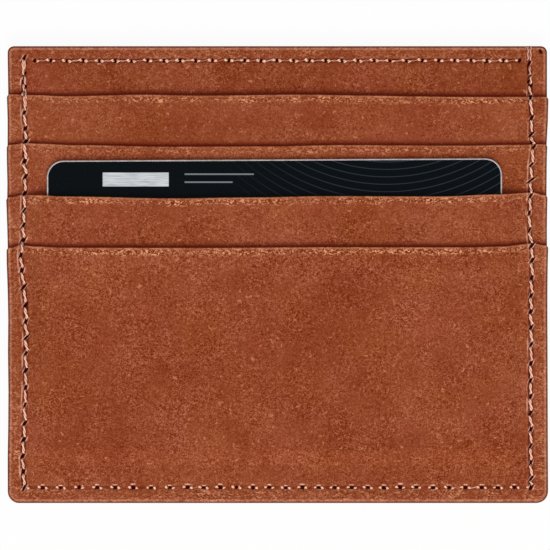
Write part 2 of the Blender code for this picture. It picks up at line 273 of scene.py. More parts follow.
def waves(x, y, seed):
    """Slow swells that leather never loses, about 1 high."""
    draw = np.random.default_rng(seed)
    total = np.zeros_like(x)
    for length in WAVE_LENGTHS:
        angle, phase = draw.uniform(0, 2 * math.pi, 2)
        total += np.sin((x * math.cos(angle) + y * math.sin(angle)) * 2 * math.pi / length + phase)
    return total / len(WAVE_LENGTHS)


def linked(name, mesh):
    """Adds a mesh to the scene as a piece."""
    piece = bpy.data.objects.new(name, mesh)
    bpy.context.scene.collection.objects.link(piece)
    return piece


def smooth_piece(name, points, faces):
    """Smooth piece from points in millimetres and the faces between them, turned outwards."""
    mesh = bpy.data.meshes.new(name)
    mesh.from_pydata((points * MM).tolist(), [], faces)
    made = bmesh.new()
    made.from_mesh(mesh)
    bmesh.ops.recalc_face_normals(made, faces=made.faces)
    made.to_mesh(mesh)
    made.free()
    mesh.shade_smooth()
    return linked(name, mesh)


def closed_sheet(name, face, under, whole_under):
    """Closed mesh of two grids: the face, the underside and the wall between their edges."""
    rows, columns = face.shape[:2]
    index = np.arange(rows * columns).reshape(rows, columns)
    cells = np.stack([index[:-1, :-1], index[:-1, 1:], index[1:, 1:], index[1:, :-1]], axis=-1)
    below = cells[:, :, ::-1] + rows * columns
    faces = cells.reshape(-1, 4).tolist()

    def ring(step):
        part = index[step:rows - step, step:columns - step]
        return np.concatenate([part[0, :-1], part[:-1, -1], part[-1, :0:-1], part[:0:-1, 0]])

    edge = ring(0)
    for start, end in zip(edge, np.roll(edge, -1)):
        faces.append([start, start + rows * columns, end + rows * columns, end])
    if whole_under:
        faces.extend(below.reshape(-1, 4).tolist())
    else:
        outer = np.ones(below.shape[:2], bool)
        outer[UNDER_RINGS:-UNDER_RINGS, UNDER_RINGS:-UNDER_RINGS] = False
        faces.extend(below[outer].tolist())
        faces.append((ring(UNDER_RINGS)[::-1] + rows * columns).tolist())
    points = np.concatenate([face.reshape(-1, 3), under.reshape(-1, 3)])
    used = np.unique(np.concatenate([np.array(one) for one in faces]))
    place = np.full(len(points), -1)
    place[used] = np.arange(len(used))
    return smooth_piece(name, points[used], [[int(place[v]) for v in one] for one in faces]), used


FAR = 9.0


def mark_points(piece, name, values):
    """Keeps a value or a triple of values per point on the mesh, for the material."""
    kind, key = ("FLOAT", "value") if values.ndim == 1 else ("FLOAT_VECTOR", "vector")
    layer = piece.data.attributes.new(name, kind, "POINT")
    layer.data.foreach_set(key, np.clip(values, -FAR, FAR).astype(np.float32).ravel())


def leather_sheet(name, node_name, seed, thickness, holes, marks_x, shown_from=-99.0, facing=1,
                  low_radius=2.2, high_radius=1.2, lift=None, gape=0.0, mouth_curve=None, side_spread=0.0,
                  drop=0.18, next_mouth=None, top_groove=False, widest=0.75):
    """One leather sheet over its CAD node, with rounded edges, sewn grooves and pricked holes."""
    low, high = box_mm(node_name)
    x_lines = grid_lines(low[0], high[0], marks_x, widest)
    y_lines = grid_lines(low[1], high[1], around(side_heights), widest)
    if shown_from > low[1]:
        bottom_edge = [low[1] + step for step in EDGE_LINES]
        covered = np.arange(low[1] + COVERED_ROWS, shown_from - COVERED_ROWS / 2, COVERED_ROWS)
        y_lines = np.concatenate([bottom_edge, covered, y_lines[y_lines > shown_from]])
    s, t = np.meshgrid(x_lines, y_lines)
    from_side = np.minimum(s - low[0], high[0] - s)
    from_low, from_mouth = t - low[1], high[1] - t
    from_outside = np.minimum(from_side, from_low)
    from_edge = np.minimum(from_outside, from_mouth)
    x, y = rounded_corners(s, t, low, high, low_radius, high_radius)
    if mouth_curve is not None:
        y = y + mouth_curve(s) * smooth(1.0 - from_mouth / CURVE_REACH)
        spread = side_spread * np.exp(-from_mouth / SPREAD_REACH)
        x = x + np.sign(s) * spread * smooth((np.abs(s) - SPREAD_START) / SPREAD_RUN)
    x = x + edge_stray(x, y)
    raised = lift(x, y) if lift is not None else np.zeros_like(x)
    held = np.clip(np.abs(s) / (SIDE_SEAM - GAPE_INSET), 0, 1) ** 4
    open_by = gape * (1.0 - held) * np.exp(-from_mouth / GAPE_REACH)

    is_pocket = mouth_curve is not None
    mouth_depth = rounding(from_mouth, MOUTH_ROUND if is_pocket else EDGE_ROUND)
    depth = np.maximum(rounding(from_outside, EDGE_ROUND), mouth_depth)
    depth -= WAVE_HEIGHT * waves(x, y, seed) * smooth(from_edge / WAVE_START)
    from_seam = np.where(x < 0, x - side_seam_x(-1, y), x - side_seam_x(1, y))
    seam_top = np.where(x < 0, LEFT_SEAM_TOP + GROOVE_PAST_LEFT, high[1] + GROOVE_PAST_RIGHT)
    above_bottom = smooth((y - BOTTOM_SEAM + GROOVE_END / 2) / GROOVE_END)
    within = above_bottom * smooth((seam_top - y) / GROOVE_END)
    side_groove = np.exp(-(from_seam / GROOVE_HALF_WIDTH) ** 4) * within
    from_bottom_seam = np.abs(y - BOTTOM_SEAM) + FAR * (np.abs(x) > SIDE_SEAM)
    from_top_seam = np.full_like(x, FAR)
    if top_groove:
        from_top_seam = np.abs(y - TOP_SEAM) + FAR * (np.abs(x) > TOP_SEAM_END)
    top_dip = GROOVE_DEPTH * np.exp(-(from_top_seam / GROOVE_HALF_WIDTH) ** 2)
    bottom_dip = BOTTOM_GROOVE_DEPTH * np.exp(-(from_bottom_seam / GROOVE_HALF_WIDTH) ** 2)
    depth += np.maximum.reduce([GROOVE_DEPTH * side_groove, top_dip, bottom_dip])
    nearest = np.full_like(x, FAR)
    slits = np.full(x.shape + (3,), FAR)
    for hole in holes[holes[:, 1] > shown_from + COVERED_HOLES]:
        hole_x, hole_y, slant, half_width, half_length, first_lip, second_lip = hole
        off_x, off_y = x - hole_x, y - hole_y
        away = np.hypot(off_x, off_y)
        # A slit that is wider than long lies along the bottom seam, with its lips below and above it.
        if half_width > half_length:
            aside, along = off_y / half_length, np.abs(off_x) / half_width
        else:
            aside, along = (off_x - off_y / math.tan(slant)) / half_width, np.abs(off_y) / half_length
        lip = np.where(aside < 0, first_lip, second_lip)
        aside = np.abs(aside)
        hollow = np.exp(-np.hypot(aside, along) ** 4)
        swell = np.exp(-((aside - LIP_PLACE) / LIP_WIDTH) ** 2 - along ** 4)
        depth += HOLE_DEPTH * hollow - LIP_RISE * lip * swell
        slits[away < nearest] = np.stack([aside, along, lip], axis=-1)[away < nearest]
        nearest = np.minimum(nearest, away)
    base = low[2] if facing > 0 else high[2]
    z_face = base + facing * (thickness + raised + open_by - depth)
    closing = drop * (1.0 - CLOSED_BY_LIFT * np.clip(raised, 0, 1))
    z_under = base + facing * (raised + open_by - closing + rounding(from_edge, UNDER_ROUND))
    face = np.stack([x, y, z_face], axis=-1)
    under = np.stack([x, y, z_under], axis=-1)
    piece, used = closed_sheet(name, face, under, lift is not None or gape > 0)

    far = np.full_like(x, FAR)
    plain = np.full(x.shape + (3,), FAR)
    above_next = y - next_mouth(x) if next_mouth is not None else far
    from_rim, from_lip = (from_outside, from_mouth) if is_pocket else (from_edge, far)
    off_seam = np.where(within > 0.5, from_seam, FAR)
    seams = np.stack([off_seam, from_top_seam, from_bottom_seam], axis=-1)
    marks = {"edges": (np.stack([from_rim, from_lip, above_next], axis=-1), plain),
             "slit": (slits, plain), "seams": (seams, plain)}
    for mark, (top, bottom) in marks.items():
        mark_points(piece, mark, np.concatenate([top.reshape(-1, 3), bottom.reshape(-1, 3)])[used])
    return piece


def dye(red, green, blue):
    """Colour for a shader from its screen values, 0 to 255."""
    parts = [value / 255.0 for value in (red, green, blue)]
    return tuple(p / 12.92 if p <= 0.04045 else ((p + 0.055) / 1.055) ** 2.4 for p in parts) + (1.0,)


def feed(made, inputs):
    """Links or sets the inputs of a shader node."""
    for key, value in dict(inputs).items():
        if isinstance(value, bpy.types.NodeSocket):
            made.id_data.links.new(value, made.inputs[key])
        else:
            made.inputs[key].default_value = value


def node(tree, kind, inputs=(), **settings):
    """Adds a shader node, with its settings, values and links."""
    made = tree.nodes.new(kind)
    for key, value in settings.items():
        setattr(made, key, value)
    feed(made, inputs)
    return made


def noise(place, scale, detail=2.0, roughness=0.5, distortion=0.0):
    """Cloudy values about 0.5; the scale is in spots per metre."""
    made = node(place.id_data, "ShaderNodeTexNoise", {"Vector": place, "Scale": scale, "Detail": detail,
                                                      "Roughness": roughness, "Distortion": distortion})
    return made.outputs["Fac"]


def span(value, low, high, to_low=0.0, to_high=1.0):
    """Maps a value softly from one span to another."""
    made = node(value.id_data, "ShaderNodeMapRange", {"Value": value, "From Min": low, "From Max": high,
                                                      "To Min": to_low, "To Max": to_high})
    return made.outputs["Result"]


def sums(operation, first, second):
    """One sum on two values, in the tree of the first."""
    return node(first.id_data, "ShaderNodeMath", {0: first, 1: second}, operation=operation).outputs[0]


def times(product, *others):
    """Product of two or more values."""
    for other in others:
        product = sums("MULTIPLY", product, other)
    return product


def plus(first, second):
    """Two values added up."""
    return sums("ADD", first, second)


def most(first, second):
    """The larger of two values."""
    return sums("MAXIMUM", first, second)


def scaled(place, factors):
    """Coordinates drawn out or pressed together along each axis."""
    made = node(place.id_data, "ShaderNodeVectorMath", {0: place, 1: factors}, operation="MULTIPLY")
    return made.outputs["Vector"]


def bumped(height, strength, distance=0.0001):
    """Fine relief from a height, as a normal."""
    made = node(height.id_data, "ShaderNodeBump", {"Height": height, "Strength": strength,
                                                   "Distance": distance})
    return made.outputs["Normal"]


def apart(vector):
    """The three values of a vector."""
    return node(vector.id_data, "ShaderNodeSeparateXYZ", {0: vector}).outputs


def mixed(amount, first, second, blend="MIX"):
    """Blends two colours."""
    made = node(amount.id_data, "ShaderNodeMix", {0: amount, 6: first, 7: second}, data_type="RGBA",
                blend_type=blend)
    return made.outputs[2]


def new_group(name, inputs, outputs):
    """Shader node group with named sockets; returns its tree, its input and its output node."""
    tree = bpy.data.node_groups.new(name, "ShaderNodeTree")
    for label, kind, value in inputs:
        socket = tree.interface.new_socket(label, in_out="INPUT", socket_type=kind)
        socket.default_value = value
    for label, kind in outputs:
        tree.interface.new_socket(label, in_out="OUTPUT", socket_type=kind)
    return tree, tree.nodes.new("NodeGroupInput"), tree.nodes.new("NodeGroupOutput")


def tones(value, stops):
    """Colour ramp through the given (place, colour) stops."""
    made = node(value.id_data, "ShaderNodeValToRGB", {"Fac": value})
    ramp = made.color_ramp
    while len(ramp.elements) < len(stops):
        ramp.elements.new(0.5)
    for element, (place, colour) in zip(ramp.elements, stops):
        element.position = place
        element.color = colour
    return made.outputs["Color"]


FLOAT, VECTOR, COLOUR = "NodeSocketFloat", "NodeSocketVector", "NodeSocketColor"
waxed_hide, given, result = new_group(
    "waxed_hide",
    [("Place", VECTOR, (0.0, 0.0, 0.0)), ("Edges", VECTOR, (FAR, FAR, FAR)),
     ("Slit", VECTOR, (FAR, FAR, FAR)), ("Seams", VECTOR, (FAR, FAR, FAR)),
     ("Grain", FLOAT, 1.0), ("Tone", FLOAT, 0.5), ("Wear", FLOAT, 1.0)],
    [("Colour", COLOUR), ("Roughness", FLOAT), ("Height", FLOAT)])
tree = waxed_hide
place = given.outputs["Place"]
from_rim, from_lip, above_next = apart(given.outputs["Edges"])
slit_aside, slit_along, lip_height = apart(given.outputs["Slit"])
off_seam, from_top_seam, from_bottom_seam = apart(given.outputs["Seams"])

# Colour of the hide: slow blotches, redder and tanner patches, and fine specks and dust in clusters.
blotch = noise(place, 60.0, 3.0, 0.55)
patch = noise(place, 95.0, 2.0, 0.5)
cloud = noise(place, 260.0, 3.0, 0.6, 0.4)
cluster = span(noise(place, 150.0, 3.0, 0.6), 0.35, 0.65, 0.6, 1.35)
speck = noise(place, 1900.0, 2.0, 0.6, 0.6)
dust = noise(place, 4300.0, 1.0, 0.5, 0.3)
grain = plus(span(speck, 0.2, 0.8, -0.42, 0.42), span(dust, 0.1, 0.9, -0.7, 0.7))
grain = times(grain, given.outputs["Grain"])
tone = plus(span(blotch, 0.2, 0.8, -0.18, 0.18), span(cloud, 0.2, 0.8, -0.12, 0.12))
tone = plus(times(grain, cluster), plus(tone, given.outputs["Tone"]))
hide = tones(tone, [(0.0, dye(113, 39, 9)), (0.5, dye(147, 72, 42)), (1.0, dye(181, 108, 78))])
hide = mixed(span(patch, 0.5, 0.68), hide, (1.0, 0.94, 1.02, 1.0), "MULTIPLY")
hide = mixed(span(patch, 0.5, 0.32), hide, (1.0, 1.0, 0.88, 1.0), "MULTIPLY")

# Wear: a crazed, shining strip a little below each mouth, weaker along the sewn margins, and sparse flecks.
rub_place = noise(place, 85.0, 2.0, 0.5)
mouth_wear = times(span(from_lip, 1.85, 0.95), span(from_lip, 0.2, 0.6, 0.3, 1.0))
margin_wear = span(from_rim, 3.3, 2.2, 0.0, 0.54)
wear = most(mouth_wear, margin_wear)
ragged = plus(wear, span(cloud, 0.3, 0.7, -0.4, 0.4))
rubbed = times(span(ragged, 0.2, 0.85), span(wear, 0.02, 0.3), span(rub_place, 0.35, 0.6, 0.5, 1.0),
               given.outputs["Wear"])
crinkle = noise(scaled(place, (0.6, 1.0, 1.0)), 2500.0, 1.0, 0.5, 1.2)
fine_crinkle = noise(place, 4000.0, 1.0, 0.5, 0.8)
hide = mixed(times(rubbed, 0.34), hide, dye(164, 86, 48))
cracks = most(span(crinkle, 0.48, 0.43), span(fine_crinkle, 0.43, 0.37))
hide = mixed(times(cracks, rubbed, 0.78), hide, dye(102, 30, 0))
glints = most(span(crinkle, 0.57, 0.62), span(fine_crinkle, 0.62, 0.68))
glints = times(glints, times(rubbed, span(from_rim, 2.4, 3.3, 0.72, 1.0)))
hide = mixed(times(glints, 0.88), hide, dye(238, 164, 122))
fleck = span(noise(place, 1300.0, 1.0, 0.5, 0.8), 0.68, 0.75)
hide = mixed(times(fleck, 0.6), hide, dye(204, 136, 92))

# Edges and seams: a pale line inside the dyed cut edge, partly rubbed and partly a painted highlight;
# painted shade where the next pocket lies on the sheet; grime and painted shade along the seams, with a
# painted highlight on the grooves' outer rim; and slits darkened with painted shade, with a pale, raised lip
# where the awl pushed one up, its paleness a painted highlight.
patchy = span(speck, 0.35, 0.65, 0.3, 1.0)
# Partly rubbed leather, partly a painted highlight: a pale line on the rounding just inside the cut edge.
rub_and_highlight_line = times(span(from_rim, 0.26, 0.4), span(from_rim, 0.8, 0.6, 0.0, 0.5))
hide = mixed(times(rub_and_highlight_line, patchy), hide, dye(222, 158, 128))
uneven = span(cloud, 0.35, 0.6, 0.25, 1.0)
mouth_rim = times(span(from_lip, 0.44, 0.2, 0.0, 0.75), uneven)
hide = mixed(times(mouth_rim, patchy), hide, dye(216, 144, 106))
# Painted shade: a darker red band on the sheet just above the next pocket's mouth.
shade_under_mouth = sums("POWER", span(above_next, 1.35, 0.15), 1.5)
shade_under_mouth = times(shade_under_mouth, span(cloud, 0.35, 0.65, 0.66, 0.98))
hide = mixed(shade_under_mouth, hide, dye(138, 38, 18))
from_seam = sums("ABSOLUTE", off_seam, 0.0)
broken = noise(scaled(place, (1.0, 0.4, 1.0)), 900.0, 1.0, 0.5)
# Painted highlight on the outer rim of each side seam's groove.
groove_rim_highlight = times(span(off_seam, -0.86, -0.72), span(off_seam, -0.5, -0.62),
                   span(broken, 0.46, 0.6, 0.0, 0.7))
hide = mixed(groove_rim_highlight, hide, dye(230, 170, 144))
# Grime and painted shade in the seam grooves, darkening the leather on both sides of the thread.
side_grime_and_shade = times(span(from_seam, 0.56, 0.4), span(broken, 0.42, 0.56, 1.0, 0.4),
                   span(off_seam, -0.1, 0.1, 1.0, 0.8))
top_grime_and_shade = span(from_top_seam, 0.44, 0.26, 0.0, 0.85)
bottom_grime_and_shade = span(from_bottom_seam, 0.4, 0.2, 0.0, 0.6)
cross_broken = noise(scaled(place, (0.4, 1.0, 1.0)), 1100.0, 1.0, 0.5)
cross_grime_and_shade = most(top_grime_and_shade, bottom_grime_and_shade)
cross_grime_and_shade = times(cross_grime_and_shade, span(cross_broken, 0.4, 0.58, 1.0, 0.3))
grime_and_shade = most(side_grime_and_shade, cross_grime_and_shade)
grime_and_shade = times(grime_and_shade, span(speck, 0.3, 0.6, 0.6, 1.0))
hide = mixed(grime_and_shade, hide, dye(72, 4, 0))
# Painted highlight: the pale colour of a raised lip beside a slit.
lip = times(span(slit_aside, 1.2, 1.5), span(slit_aside, 2.3, 1.85), span(slit_along, 1.2, 0.5),
            span(lip_height, 0.0, 0.6), patchy)
hide = mixed(lip, hide, dye(255, 200, 176))
hide = mixed(span(from_rim, 0.36, 0.1), hide, dye(98, 48, 32))
# Painted shade: each slit darkens towards its middle.
slit_radius = plus(sums("POWER", slit_aside, 2.0), sums("POWER", slit_along, 2.0))
hide = mixed(span(slit_radius, 1.5, 0.8), hide, dye(58, 8, 0))

# Surface: the waxed specks shine more, and the pores and rubbed glints stand out.
pores = node(tree, "ShaderNodeTexVoronoi", {"Vector": place, "Scale": 1500.0}).outputs["Distance"]
height = plus(plus(times(pores, 0.35), speck), times(glints, 0.5))
feed(result, {"Colour": hide, "Roughness": span(speck, 0.3, 0.7, 0.8, 0.64), "Height": height})


def new_material(name):
    """Empty node material; returns it, its tree and its Principled BSDF."""
    material = bpy.data.materials.new(name)
    material.use_nodes = True
    return material, material.node_tree, material.node_tree.nodes["Principled BSDF"]


def attribute(tree, name, output="Fac"):
    """Reads what the mesh keeps per point under this name."""
    return node(tree, "ShaderNodeAttribute", attribute_name=name).outputs[output]


def shifted_place(tree, shift):
    """The piece's own coordinates, moved so that no two pieces repeat a pattern."""
    made = node(tree, "ShaderNodeTexCoord")
    moved = node(tree, "ShaderNodeVectorMath", {0: made.outputs["Object"], 1: shift}, operation="ADD")
    return moved.outputs["Vector"]


def leather_finish(name, shift, grain=1.0, tone=0.5, wear=1.0):
    """Waxed leather for one sheet, each from its own part of the hide."""
    material, tree, shader = new_material(name)
    finish = node(tree, "ShaderNodeGroup", node_tree=waxed_hide)
    feed(finish, {"Place": shifted_place(tree, shift), "Grain": grain, "Tone": tone, "Wear": wear})
    feed(finish, {mark: attribute(tree, mark.lower(), "Vector") for mark in ("Edges", "Slit", "Seams")})
    feed(shader, {"Base Color": finish.outputs["Colour"], "Roughness": finish.outputs["Roughness"],
                  "Normal": bumped(finish.outputs["Height"], 0.35, 0.00012)})
    shader.inputs["Specular IOR Level"].default_value = 0.03
    return material


def dressed(piece, body, slot, material, *nodes):
    """Gives a piece its material, says what it rides on, and hides the CAD nodes it stands for."""
    piece.data.materials.append(material)
    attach(piece, body)
    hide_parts(*nodes)


BACK_LEATHER = 1.0
outer_holes = np.concatenate([left_holes, right_holes, bottom_holes[1:-1]])
face_holes = np.concatenate([left_face_holes, right_face_holes, bottom_holes[1:-1], tack_holes])
cross_marks = around(bottom_x[1:-1]) + along_sides()
back_panel = leather_sheet("back_leather", "back_panel", 11, BACK_LEATHER,
                           np.concatenate([outer_holes, top_holes]), cross_marks, facing=-1, drop=0.0,
                           top_groove=True)
dressed(back_panel, "wallet", "leather", leather_finish("back_leather", (0.31, 0.12, 0.0)), "back_panel")


# Front panel
# The leather sheet behind the pockets, sewn to the back down both sides and along the bottom. Only
# its top band shows, with a seam of its own that holds the lining.
FRONT_LEATHER = 0.9
MOUTH_CURVES = {
    1: ((-50.0, 0.1), (-45.3, -0.05), (-40.2, -0.26), (-25.0, 0.02), (-14.9, -0.15), (5.5, 0.04),
        (15.6, -0.13), (25.8, -0.3), (35.9, -0.4), (50.0, -0.36)),
    2: ((-50.0, 0.2), (-47.0, 0.5), (-45.3, 0.38), (-38.0, 0.12), (-20.0, -0.18), (-2.0, -0.12),
        (12.0, 0.12), (35.0, 0.02), (46.0, 0.17), (50.0, 0.3)),
    3: ((-50.0, -0.12), (-47.5, 0.36), (-45.3, 0.26), (-40.0, 0.02), (-20.0, -0.34), (-6.0, -0.18),
        (10.0, 0.08), (31.0, 0.02), (41.0, 0.4), (48.0, 0.76), (50.0, 0.3)),
    4: ((-50.0, 0.0), (-48.0, 0.48), (-45.3, 0.2), (-40.0, 0.0), (-15.0, -0.04), (10.0, 0.1),
        (36.0, 0.08), (42.0, 0.2), (48.0, 0.8), (50.0, 0.45)),
}
SHOWN_PAST_MOUTH = 2.0
pocket_mouths = {number: box_mm("card_pocket_%d" % number)[1][1] for number in MOUTH_CURVES}


def mouth_curve(number):
    """How far a pocket's mouth strays from its straight cut, across the wallet."""
    places, strays = map(np.array, zip(*MOUTH_CURVES[number]))

    def stray(x):
        after = np.clip(np.searchsorted(places, x), 1, len(places) - 1)
        share = smooth((x - places[after - 1]) / (places[after] - places[after - 1]))
        return strays[after - 1] + share * (strays[after] - strays[after - 1])

    return stray


def mouth_line(number):
    """Height of a pocket's mouth across the wallet."""
    return lambda x: pocket_mouths[number] + mouth_curve(number)(x)


front_panel = leather_sheet("front_leather", "front_panel", 23, FRONT_LEATHER,
                            np.concatenate([face_holes, top_holes, [CORNER_NICK]]),
                            around(top_x) + along_sides() + around([CORNER_NICK[0]]),
                            shown_from=pocket_mouths[1] - SHOWN_PAST_MOUTH, next_mouth=mouth_line(1),
                            top_groove=True)
dressed(front_panel, "wallet", "leather",
        leather_finish("front_leather", (0.0, 0.0, 0.0), grain=0.85, tone=0.44, wear=0.72), "front_panel")


# Card pockets
# Four thinner leather panels stepped down the front, each sewn into the outer seam. The mouths are
# cut edges, rubbed pale by cards. The third and fourth have stretched over the card behind them.
POCKET_LEATHER = 0.7
POCKET_CORNER = 0.7
POCKET_FINISH = {
    1: dict(grain=0.66, tone=0.5, wear=0.98),
    2: dict(grain=0.8, tone=0.5, wear=0.66),
    3: dict(grain=0.85, tone=0.49, wear=1.0),
    4: dict(grain=1.0, tone=0.47, wear=1.2),
}
CARD_LIFT = np.ptp(np.array(box_mm("card_pocket_3"))[:, 2]) - POCKET_LEATHER
LIFT_RUN = 3.0
LIFT_START = 0.5
LOW_RUN = 3.6
card_low, card_high = box_mm("card_body")


def over_card(x, y):
    """How far the front pockets stand out where the card lies under them."""
    middle = (card_low[0] + card_high[0]) / 2
    half_width = (card_high[0] - card_low[0]) / 2
    from_end = half_width + LIFT_START + LIFT_RUN - np.abs(x - middle)
    from_floor = y - (card_low[1] - LOW_RUN)
    return CARD_LIFT * smooth(from_end / LIFT_RUN) * smooth(from_floor / LOW_RUN)


side_marks = along_sides()
pocket_look = {
    1: dict(gape=0.35, next_mouth=mouth_line(2), marks_x=side_marks, side_spread=0.24),
    2: dict(gape=0.12, next_mouth=mouth_line(3), marks_x=side_marks, side_spread=0.16),
    3: dict(gape=0.3, next_mouth=mouth_line(4), marks_x=side_marks, side_spread=0.18, lift=over_card),
    4: dict(gape=0.18, marks_x=cross_marks, side_spread=0.24, lift=over_card),
}
for number, look in pocket_look.items():
    name = "pocket_leather_%d" % number
    node_name = "card_pocket_%d" % number
    if number < len(pocket_look):
        look["shown_from"] = pocket_mouths[number + 1] - SHOWN_PAST_MOUTH
    pocket = leather_sheet(name, node_name, 30 + number, POCKET_LEATHER, face_holes,
                           mouth_curve=mouth_curve(number), high_radius=POCKET_CORNER, **look)
    shift = (0.13 * number, 0.07 * number, 0.0)
    finish = leather_finish(name, shift, **POCKET_FINISH[number])
    dressed(pocket, "wallet", "leather", finish, node_name)


# Note pocket lining
# Two pieces of thin woven cloth face the note pocket between the panels. They are caught in the outer
# seam and, along the top, in the seams of the panels.
CLOTH_GRID = 1.6
CLOTH_CORNERS = (2.0, 1.0)
SEWN_MARGIN = 3.4
PRESSED_BY = 0.33
PRESS_RUN = 1.0
CLOTH_EASE = 0.04
EASE_START = 3.0
INNER_ROUND = 0.1
OUTER_ROUND = 0.08
OUTER_DROP = 0.15
WEAVE_SCALE = 900.0


def lining_sheet(name, node_name, towards):
    """Cloth over a lining node; its sewn margin is pressed towards the other lining."""
    low, high = box_mm(node_name)
    s, t = np.meshgrid(*(grid_lines(low[axis], high[axis], [], CLOTH_GRID) for axis in (0, 1)))
    x, y = rounded_corners(s, t, low, high, *CLOTH_CORNERS)
    x = x + edge_stray(x, y)
    from_side = np.minimum(s - low[0], high[0] - s)
    from_sewn = np.minimum(from_side, t - low[1])
    from_edge = np.minimum(from_sewn, high[1] - t)
    pressed = PRESSED_BY * smooth((SEWN_MARGIN - from_sewn) / PRESS_RUN)
    ease = CLOTH_EASE * waves(x, y, 5 if towards > 0 else 6)
    far_face, near_face = (high[2], low[2]) if towards > 0 else (low[2], high[2])
    inner = far_face + towards * (pressed + ease * smooth(from_edge / EASE_START))
    inner = inner - towards * rounding(from_edge, INNER_ROUND)
    outer = near_face - towards * OUTER_DROP + towards * rounding(from_edge, OUTER_ROUND)
    return closed_sheet(name, np.stack([x, y, inner], -1), np.stack([x, y, outer], -1), True)[0]


lining_cloth, tree, shader = new_material("lining_cloth")
weave_place = shifted_place(tree, (0.0, 0.0, 0.0))
threads = {"Vector": weave_place, "Scale": WEAVE_SCALE, "Distortion": 0.3}
warp, weft = (node(tree, "ShaderNodeTexWave", threads, wave_type="BANDS", bands_direction=direction)
              for direction in "XY")
weave = times(warp.outputs["Fac"], weft.outputs["Fac"])
fade = noise(weave_place, 120.0, 3.0, 0.6)
cloth_tone = plus(times(weave, 0.6), span(fade, 0.3, 0.7, 0.0, 0.4))
cloth_shades = tones(cloth_tone, [(0.0, dye(46, 28, 20)), (0.5, dye(66, 42, 32)), (1.0, dye(92, 64, 50))])
feed(shader, {"Base Color": cloth_shades, "Roughness": 0.85, "Normal": bumped(weave, 0.5)})
for name, node_name, towards, carrier in (("back_lining_cloth", "back_lining", 1, "back_panel"),
                                          ("front_lining_cloth", "front_lining", -1, "front_panel")):
    lining = lining_sheet(name, node_name, towards)
    dressed(lining, "wallet", "lining", lining_cloth, node_name)
    low, high = box_mm(node_name)


# Bank card
# A standard plastic card: a pale core between two dark printed faces, with small rounded edges. The
# print is a plain foil bar, a pair of hairlines and faint arcs. It slides in the third pocket.
CARD_TILT = math.radians(0.3)
CARD_WIDTH, CARD_HEIGHT, CARD_THICKNESS = 85.6, 53.98, 0.76
CARD_CORNER = 3.18
CARD_EDGE = 0.26
EDGE_TURNS = 4
CORNER_STEPS = 10
LEAST_CORNER = 0.02
FOIL_BAR = ((-0.0262, 0.0062), (0.0232, 0.0013))
LONG_LINE = ((-0.0105, 0.0065), (0.0242, 0.00013))
SHORT_LINE = ((-0.0125, 0.0045), (0.0227, 0.00013))
ARC_CENTRE = (0.021, 0.058, 0.0)
ARC_STEP = 0.0007
card_middle = (card_low + card_high) / 2


def rounded_outline(half_x, half_y, radius):
    """Points round a rectangle with round corners, anticlockwise."""
    points = []
    for corner, (sign_x, sign_y) in enumerate(((1, 1), (-1, 1), (-1, -1), (1, -1))):
        for k in range(CORNER_STEPS + 1):
            angle = math.pi / 2 * (corner + k / CORNER_STEPS)
            points.append((sign_x * (half_x - radius) + radius * math.cos(angle),
                           sign_y * (half_y - radius) + radius * math.sin(angle)))
    return points


def add_plate(made, half_x, half_y, radius, low, high, edge, centre=(0.0, 0.0)):
    """Adds a flat plate with round corners and rounded edges to a mesh."""
    turns = [math.pi / 2 * k / EDGE_TURNS for k in range(EDGE_TURNS + 1)]
    profile = [(edge * (1 - math.sin(turn)), low + edge * (1 - math.cos(turn))) for turn in turns]
    profile += [(inset, low + high - z) for inset, z in reversed(profile)]
    loops = []
    for inset, z in profile:
        outline = rounded_outline(half_x - inset, half_y - inset, max(radius - inset, LEAST_CORNER))
        loops.append([made.verts.new((centre[0] + x, centre[1] + y, z)) for x, y in outline])
    for lower, upper in zip(loops, loops[1:]):
        for k in range(len(lower)):
            after = (k + 1) % len(lower)
            made.faces.new((lower[k], lower[after], upper[after], upper[k]))
    made.faces.new(loops[0][::-1])
    made.faces.new(loops[-1])


def card_part(name, made):
    """Moves a mesh from the card's own millimetres to its place in the wallet and makes it a piece."""
    bmesh.ops.recalc_face_normals(made, faces=made.faces)
    place = Matrix.Translation(Vector(card_middle) * MM)
    made.transform(place @ Matrix.Rotation(CARD_TILT, 4, "Z") @ Matrix.Scale(MM, 4))
    mesh = bpy.data.meshes.new(name)
    made.to_mesh(mesh)
    made.free()
    return linked(name, mesh)


def near(value, centre, half, soft=0.00004):
    """1 where a value is no further than half from the centre, with a soft edge."""
    off = sums("ABSOLUTE", sums("SUBTRACT", value, centre), 0.0)
    return span(off, half + soft, half - soft)


def printed(bar):
    """1 inside a printed bar, given as its centre and half size across and up the face."""
    return times(near(across, *bar[0]), near(up, *bar[1]))


card_print, tree, shader = new_material("card_print")
face_place = shifted_place(tree, tuple(-card_middle * MM))
across, up, out = apart(face_place)
front_face = span(out, 0.0003, 0.00037)
grain = noise(face_place, 2600.0, 2.0, 0.6)
ground = tones(grain, [(0.3, dye(3, 8, 12)), (0.7, dye(8, 15, 20))])
arc_distance = node(tree, "ShaderNodeVectorMath", {0: face_place, 1: ARC_CENTRE},
                    operation="DISTANCE").outputs["Value"]
arc_step = sums("PINGPONG", arc_distance, ARC_STEP)
arcs = times(span(arc_step, 0.00058, 0.00066), span(across, -0.01, 0.012))
ground = mixed(times(arcs, 0.35), ground, dye(70, 82, 96))
brushed = noise(scaled(face_place, (0.06, 1.0, 1.0)), 5200.0, 2.0, 0.6)
silver = tones(brushed, [(0.3, dye(168, 172, 178)), (0.7, dye(224, 226, 229))])
hairlines = most(printed(LONG_LINE), printed(SHORT_LINE))
ground = mixed(times(hairlines, front_face), ground, dye(126, 130, 136))
foil = times(printed(FOIL_BAR), front_face)
feed(shader, {"Base Color": mixed(foil, ground, silver), "Roughness": span(grain, 0.3, 0.7, 0.17, 0.22)})
shader.inputs["Specular IOR Level"].default_value = 0.07

